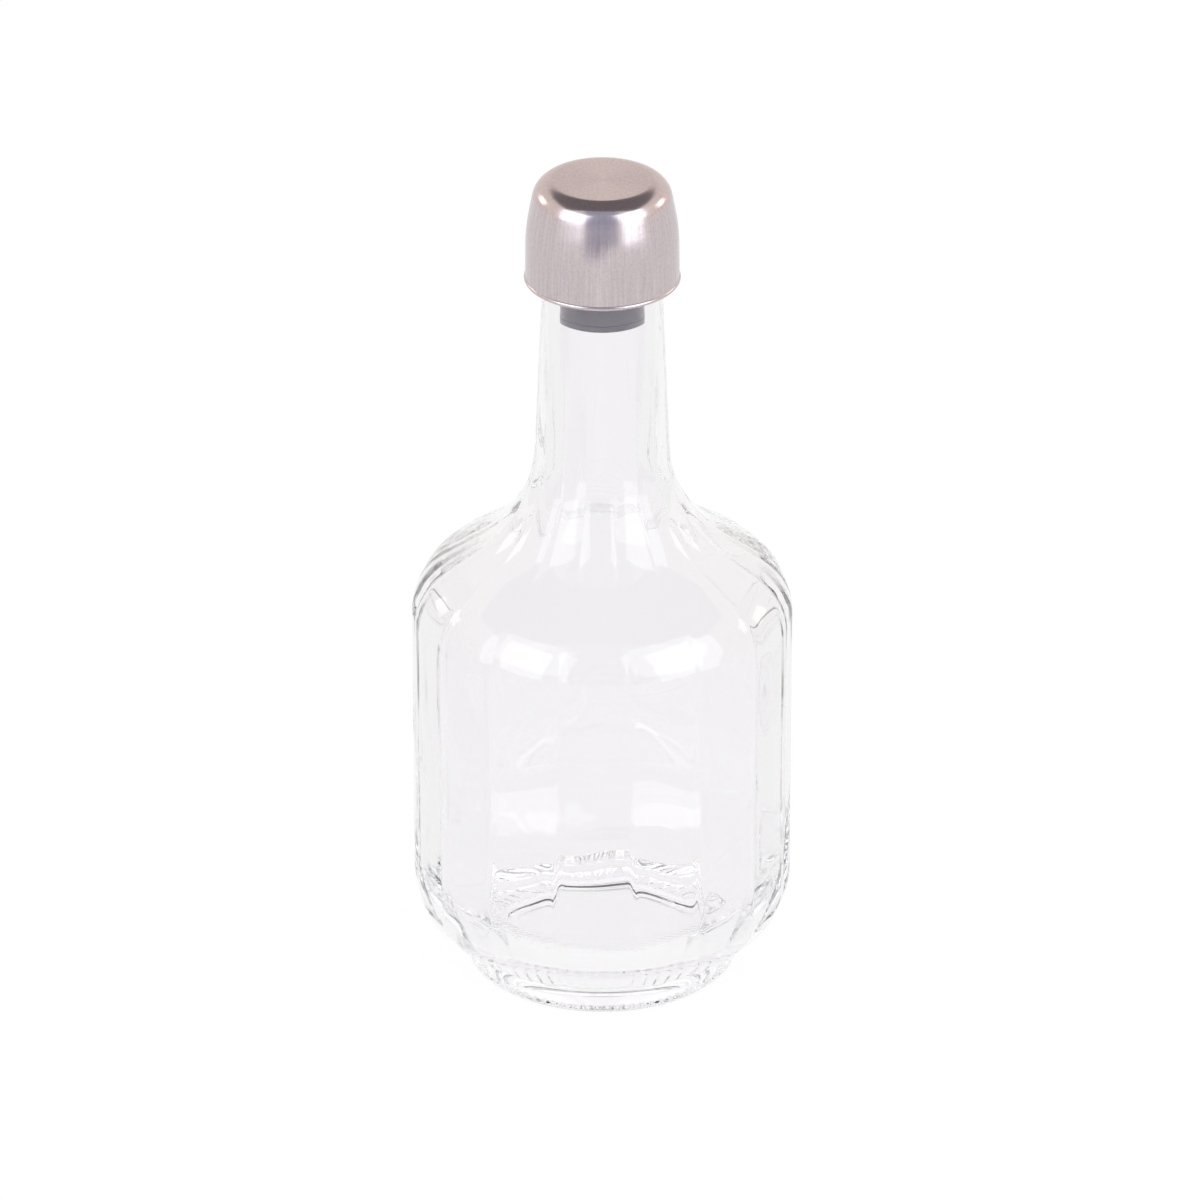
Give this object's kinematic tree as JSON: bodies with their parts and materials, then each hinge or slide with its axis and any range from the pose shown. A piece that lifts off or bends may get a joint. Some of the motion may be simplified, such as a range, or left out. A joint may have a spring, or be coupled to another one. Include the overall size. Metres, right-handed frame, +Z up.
{
  "type": "glass condiment cruet",
  "caption": "Clear glass table bottle for oil or vinegar with bowed panels, a slim neck and a metal cap on a plastic stopper.",
  "frame": {"origin": "centre of the plane that the foot rests on", "axes": "+Z up along the bottle's axis, the middle of one panel faces -Y"},
  "size_m": [0.08, 0.08, 0.181],
  "materials": {
    "glass": "clear, fire polished",
    "stopper_plastic": "moulded, satin, dark grey",
    "cap_metal": "drawn and brushed, satin"
  },
  "bodies": {
    "root": {"bottle": "glass", "stopper": "stopper_plastic", "cap": "cap_metal"}
  },
  "joints": []
}
